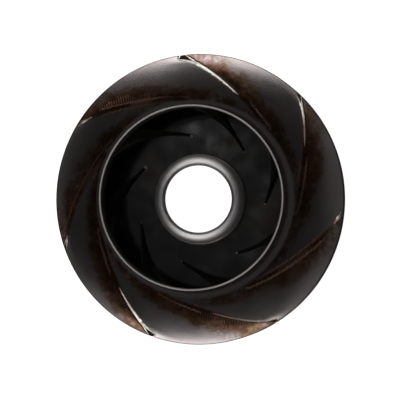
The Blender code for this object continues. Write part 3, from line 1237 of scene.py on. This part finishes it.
class IMPELLER_OT_hub(bpy.types.Operator):
    """Make the turned hub and the weld rings round it."""

    bl_idname = "impeller.hub"
    bl_label = "Hub"

    def execute(self, context):
        scene = context.scene
        hub = scene.impeller_hub
        make_finishes(scene)
        crest = (HUB_HIGH.x - hub.shoulder, HUB_HIGH.z - hub.shoulder)
        outline = [
            (hub.bore_rear, HUB_LOW.z),
            (hub.bore_front, HUB_HIGH.z - hub.chamfer),
            (hub.bore_front + hub.chamfer, HUB_HIGH.z),
            (crest[0], HUB_HIGH.z),
        ]
        outline += arc(crest, -hub.shoulder, 0.0, math.pi / 2, FILLET_STEPS)
        outline.append((HUB_HIGH.x, HUB_LOW.z))
        round_radius = scene.impeller_sheets.edge_round
        outline = rounded(outline, (2,), hub.mouth_round)
        outline = rounded(outline, (0, 1, len(outline) - 1), round_radius)
        piece = finished("hub_bush", turned(outline, HUB_SEGMENTS), finishes("turned_hub"))
        dress(piece, "hub_collar")
        for node, corner, rise in (
            ("hub_weld_front", RING_LOW.z, 1.0),
            ("hub_weld_rear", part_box("hub_weld_rear")[1].z, -1.0),
        ):
            self.make_ring(scene, node, corner, rise)
        return {"FINISHED"}

    def make_ring(self, scene, node, corner, rise):
        """A rippled bead in the corner between the hub and the back shroud."""
        leg = RING_HIGH.z - RING_LOW.z
        inner = HUB_HIGH.x
        outline = [(inner, corner)]
        for step in range(EDGE_STEPS * 2 + 1):
            bend = math.pi / 2 * step / (EDGE_STEPS * 2)
            outline.append((inner + leg * math.cos(bend), corner + rise * leg * math.sin(bend)))
        shape = turned(outline, HUB_SEGMENTS * 2)
        ripple = scene.impeller_welds.ripple_pitch
        for vert in shape.verts:
            radius = math.hypot(vert.co.x, vert.co.y)
            out = (radius - inner) / leg
            wave = math.sin(math.atan2(vert.co.y, vert.co.x) * round(math.tau * inner / ripple))
            swell = 1.0 + RING_RIPPLE * wave * out
            vert.co.xy *= (inner + (radius - inner) * swell) / radius
        piece = finished(node + "_bead", shape, finishes("dark_weld"))
        dress(piece, node)


class IMPELLER_OT_vanes(bpy.types.Operator):
    """Make the curved vanes with their rounded leading edges and tacks."""

    bl_idname = "impeller.vanes"
    bl_label = "Vanes"

    def execute(self, context):
        scene = context.scene
        make_finishes(scene)
        sections = self.sections(scene)
        for number in range(VANE_COUNT):
            shape = swept(sections)
            self.add_tack(scene, shape, TACK_SIZE[number])
            turn_to(shape, number)
            piece = finished(f"vane_blade_{number + 1}", shape, finishes("inside_sheet", "cut_edge"))
            dress(piece, f"vane_{number + 1}")
        return {"FINISHED"}

    def sections(self, scene):
        """Closed sections of a vane from the rim to its rounded leading edge."""
        vanes = scene.impeller_vanes
        sheets = scene.impeller_sheets
        ceiling = shroud_line(sheets, sheets.sheet)
        drop = vanes.clearance / math.cos(sheets.shoulder_slope) + sheets.weld_draw
        nose = 1.0 - LEAD_ROUND
        turns = np.linspace(0.0, math.pi / 2, EDGE_STEPS + 1)[1:-1]
        at = np.append(np.linspace(0.0, nose, VANE_STEPS + 1), nose + LEAD_ROUND * np.sin(turns))
        bluntness = np.clip((at - nose) / LEAD_ROUND, 0.0, 1.0)
        half = (vanes.sheet / 2 * np.sqrt(1.0 - bluntness**2))[:, None]

        def low_edge(share_along):
            return back_edge(vanes, share_along, PLATE_HIGH.z + vanes.clearance)

        def high_edge(share_along):
            return front_edge(vanes, share_along, ceiling)

        low = low_edge(at)
        low_side = level_across(low_edge, at) * half
        high = high_edge(at)
        high_side = level_across(high_edge, np.minimum(at, nose)) * half
        left = high + high_side
        right = high - high_side
        for side in (left, right):
            side[:, 2] = height_on(ceiling, np.hypot(side[:, 0], side[:, 1])) - drop
        rise = np.linspace(0.0, 1.0, VANE_ROWS + 1)[None, :, None]
        rising = (low + low_side)[:, None] * (1.0 - rise) + left[:, None] * rise
        falling = right[:, None] * (1.0 - rise) + (low - low_side)[:, None] * rise
        return np.concatenate((rising, falling), axis=1)

    def add_tack(self, scene, shape, size):
        """A small blob of weld metal at the inner foot of a vane."""
        vanes = scene.impeller_vanes
        foot = back_edge(vanes, np.array(1.0), PLATE_HIGH.z + vanes.clearance)
        radius = vanes.tack_radius * size
        made = bmesh.ops.create_icosphere(shape, subdivisions=3, radius=radius)["verts"]
        lift = Vector((0.0, 0.0, radius / 2))
        bmesh.ops.translate(shape, verts=made, vec=Vector(foot) + lift)
        for face in {face for vert in made for face in vert.link_faces}:
            face.material_index = EDGE_SLOT


class IMPELLER_OT_front_seams(bpy.types.Operator):
    """Make the weld seams on the front shroud, forked round the slots at the rim."""

    bl_idname = "impeller.front_seams"
    bl_label = "Front seams"

    def execute(self, context):
        scene = context.scene
        make_finishes(scene)
        for number in range(VANE_COUNT):
            mesh, along, aside = strip(SEAM_STEPS, SEAM_ROWS)
            rise, flatted, burnt, at, across = self.profile(scene, number, along, aside)
            self.place(scene, mesh, number, rise, at, across)
            finish_seam(mesh, number, "front", scene.impeller_welds.root, flatted, burnt)
        return {"FINISHED"}

    def profile(self, scene, number, along, aside):
        """Heights and finishes over a seam, with where each place lies along and across it."""
        welds = scene.impeller_welds
        tip, half_mouth = slot_size(scene, number)
        end = STREAK_END[number]
        at = along * (welds.front_end - SEAM_START) + SEAM_START
        half_slot = half_mouth * np.clip(1.0 - at / tip, 0.0, None)
        across = aside * (half_slot + welds.half_width)
        beyond = np.abs(across) - half_slot
        size = STREAK_SIZE[number] * (1.0 + welds.wobble * self.wobble(number, at, WIDTH_WOBBLE))
        fade = STREAK_FADE[number]
        rise, bright = self.flatted_bead(welds, at, across, beyond / size, tip, end, fade)
        bright *= 1.0 - (1.0 - SLOT_OPENING[number]) * (1.0 - smooth(0.0, 1.0, at / tip))
        lines = smooth(*LINE_START, at - end) * (1.0 - smooth(*LINE_END, along))
        lines *= LINE_STRENGTH[number]
        closing = np.sqrt(np.clip((1.0 - along) / LINE_CLOSING, 0.0, 1.0))
        offset = welds.line_offset * (1.0 + welds.wobble * self.wobble(number, at, OFFSET_WOBBLE))
        pair = hump(np.abs(across) - offset * closing, welds.line_width)
        band = 1.0 - smooth(*BAND_EDGE, np.abs(across) / welds.line_offset)
        swell = 1.0 + LINE_RIPPLE * ripples(at, aside, SEAM_RIPPLES)
        rise += welds.line_height * lines * (pair + BAND_HEIGHT * band) * swell
        bed = smooth(0.0, welds.line_width, -beyond)
        rise -= bed * welds.slot_sink
        bright *= SEAM_POLISH[number] * (1.0 - bed)
        # Round the streak this is partly real burnt metal and partly a painted shadow line beside the
        # streak
        beside = STREAK_BURN_AND_SHADOW * (1.0 - smooth(end, end + BURN_REACH, at)) * (1.0 - bright)
        return rise, bright + lines * LINE_SHINE * pair, np.maximum(bed, beside), at, across

    def wobble(self, number, at, rate):
        """How unevenly a seam was laid, from -1 to 1."""
        steps = np.linspace(SEAM_START, 1.0, WOBBLE_STEPS)
        places = np.zeros((WOBBLE_STEPS, 3))
        places[:, 0] = steps * rate
        places[:, 1] = number
        return np.interp(at, steps, clouds(places))

    def flatted_bead(self, welds, at, across, beyond, tip, end, fade):
        """Height and brightness of the bead that was flatted from the rim inwards."""
        streak = 1.0 - smooth(end * STREAK_CLOSING, end, at)
        taper = np.clip(1.0 - (at - tip) / (end - tip), 0.0, 1.0)
        fork = smooth(0.0, 1.0, at / tip)
        narrowing = STREAK_TIP + (1.0 - STREAK_TIP) * taper
        width = welds.arm_width * (1.0 - fork) + welds.streak_width * narrowing * fork
        outside = np.maximum(beyond, 0.0)
        crest = np.exp(-((outside / width) ** 4)) * streak
        facet = -np.sign(across) * outside * math.tan(welds.facet)
        groove = hump(across, welds.line_width) * hump(at - tip, GROOVE_LENGTH)
        shine = (1.0 - GROOVE_SHADE * groove) * (1.0 - fade * smooth(tip, STREAK_FADED * end, at))
        return crest * (welds.bead_height + facet), crest * shine

    def place(self, scene, mesh, number, rise, at, across):
        """Lay the strip on the sheet along the seam's line."""
        sheets = scene.impeller_sheets
        vanes = scene.impeller_vanes
        line = shroud_line(sheets, 0.0)

        def edge(share_along):
            return front_edge(vanes, share_along, line, SEAM_PULL[number])

        places = edge(at) + level_across(edge, at) * across[:, None]
        radius = np.hypot(places[:, 0], places[:, 1])
        places[:, :2] *= np.minimum(1.0, (SHROUD_HIGH.x - sheets.edge_round / 2) / radius)[:, None]
        radius = np.hypot(places[:, 0], places[:, 1])
        fade = 1.0 - smooth(SHROUD_HIGH.x - sheets.weld_draw_width, SHROUD_HIGH.x, radius)
        dip = weld_dip(sheets, across, at) * fade
        places[:, 2] = height_on(line, radius) - dip - scene.impeller_welds.tuck + rise
        write_places(mesh, places)


class IMPELLER_OT_back_seams(bpy.types.Operator):
    """Make the weld seams behind the back shroud."""

    bl_idname = "impeller.back_seams"
    bl_label = "Back seams"

    def execute(self, context):
        scene = context.scene
        make_finishes(scene)
        welds = scene.impeller_welds
        vanes = scene.impeller_vanes

        def edge(share_along):
            return back_edge(vanes, share_along, PLATE_LOW.z)

        for number in range(VANE_COUNT):
            mesh, along, aside = strip(SEAM_STEPS, BACK_SEAM_ROWS)
            at = along * welds.back_end
            swell = 1.0 + BACK_RIPPLE * ripples(at, aside, BACK_RIPPLES)
            rise = welds.back_height * np.sqrt(1.0 - aside**2) * swell
            places = edge(at) + level_across(edge, at) * (aside * welds.back_half_width)[:, None]
            places[:, 2] -= rise - welds.tuck
            write_places(mesh, places)
            flatted = np.full(len(places), BACK_POLISH)
            finish_seam(mesh, number, "back", -welds.root, flatted, BACK_BURN * np.abs(aside))
        return {"FINISHED"}


OPERATORS = (
    IMPELLER_OT_stage,
    IMPELLER_OT_front_shroud,
    IMPELLER_OT_back_shroud,
    IMPELLER_OT_hub,
    IMPELLER_OT_vanes,
    IMPELLER_OT_front_seams,
    IMPELLER_OT_back_seams,
)


class IMPELLER_PT_pieces(bpy.types.Panel):
    """Lists the steps and the sizes in the sidebar."""

    bl_idname = "IMPELLER_PT_pieces"
    bl_label = "Impeller"
    bl_space_type = "VIEW_3D"
    bl_region_type = "UI"
    bl_category = "Impeller"

    def draw(self, context):
        for operator in OPERATORS:
            self.layout.operator(operator.bl_idname)
        for name, group in GROUPS.items():
            box = self.layout.box()
            box.label(text=group.__doc__)
            for field in group.__annotations__:
                box.prop(getattr(context.scene, name), field)


def register():
    """Register the classes and hang the settings on the scene."""
    for name, group in GROUPS.items():
        bpy.utils.register_class(group)
        setattr(bpy.types.Scene, name, PointerProperty(type=group))
    for kind in (*OPERATORS, IMPELLER_PT_pieces):
        bpy.utils.register_class(kind)


def unregister():
    """Take the classes and the settings away."""
    for kind in (IMPELLER_PT_pieces, *reversed(OPERATORS)):
        bpy.utils.unregister_class(kind)
    for name, group in GROUPS.items():
        delattr(bpy.types.Scene, name)
        bpy.utils.unregister_class(group)


def main():
    """Dress the impeller step by step."""
    register()
    for operator in OPERATORS:
        category, name = operator.bl_idname.split(".")
        getattr(getattr(bpy.ops, category), name)()


if __name__ == "__main__":
    main()
